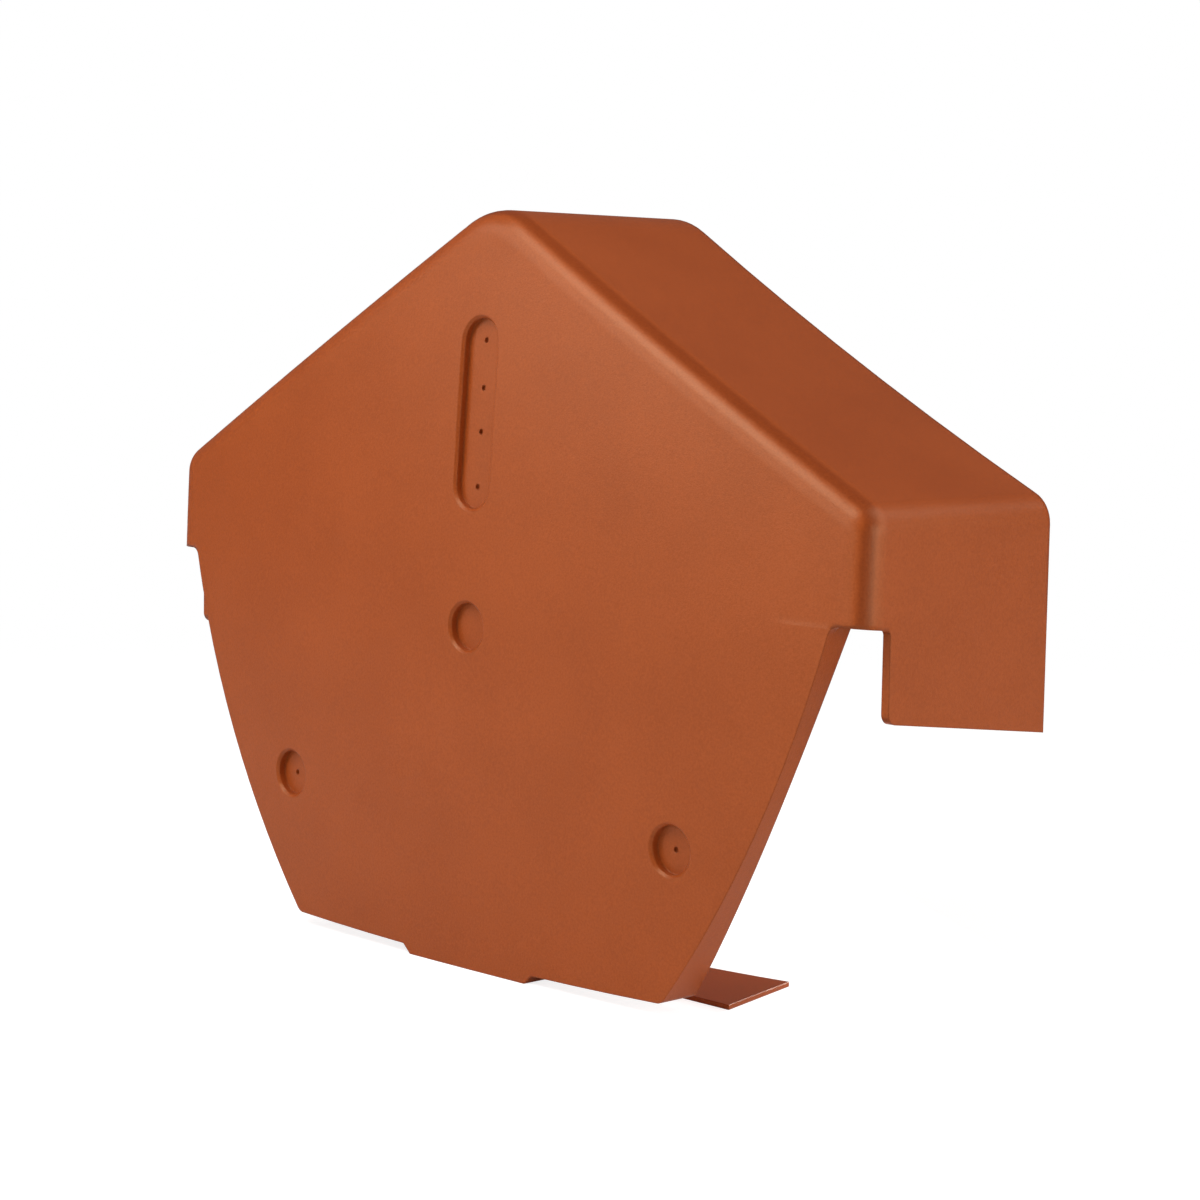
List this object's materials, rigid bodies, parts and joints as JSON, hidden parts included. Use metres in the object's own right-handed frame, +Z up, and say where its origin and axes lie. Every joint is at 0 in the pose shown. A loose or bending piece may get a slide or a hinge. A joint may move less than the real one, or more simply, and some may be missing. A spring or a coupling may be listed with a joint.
{
  "type": "ridge end cap",
  "caption": "Angled dry verge ridge end cap: gabled plastic hood with a tapered face plate, side wings and a foot plate that closes the open end of a ridge tile run.",
  "frame": {"origin": "middle of the box the cap stands on, on the underside of its foot", "axes": "+Z up towards the ridge, +Y into the roof behind the face, +X to the right across the gable"},
  "size_m": [0.29, 0.081, 0.2185],
  "materials": {
    "terracotta_plastic": "fine matt grain, terracotta, coloured right through"
  },
  "bodies": {
    "root": {"ridge_end_cap": "terracotta_plastic"}
  },
  "joints": []
}
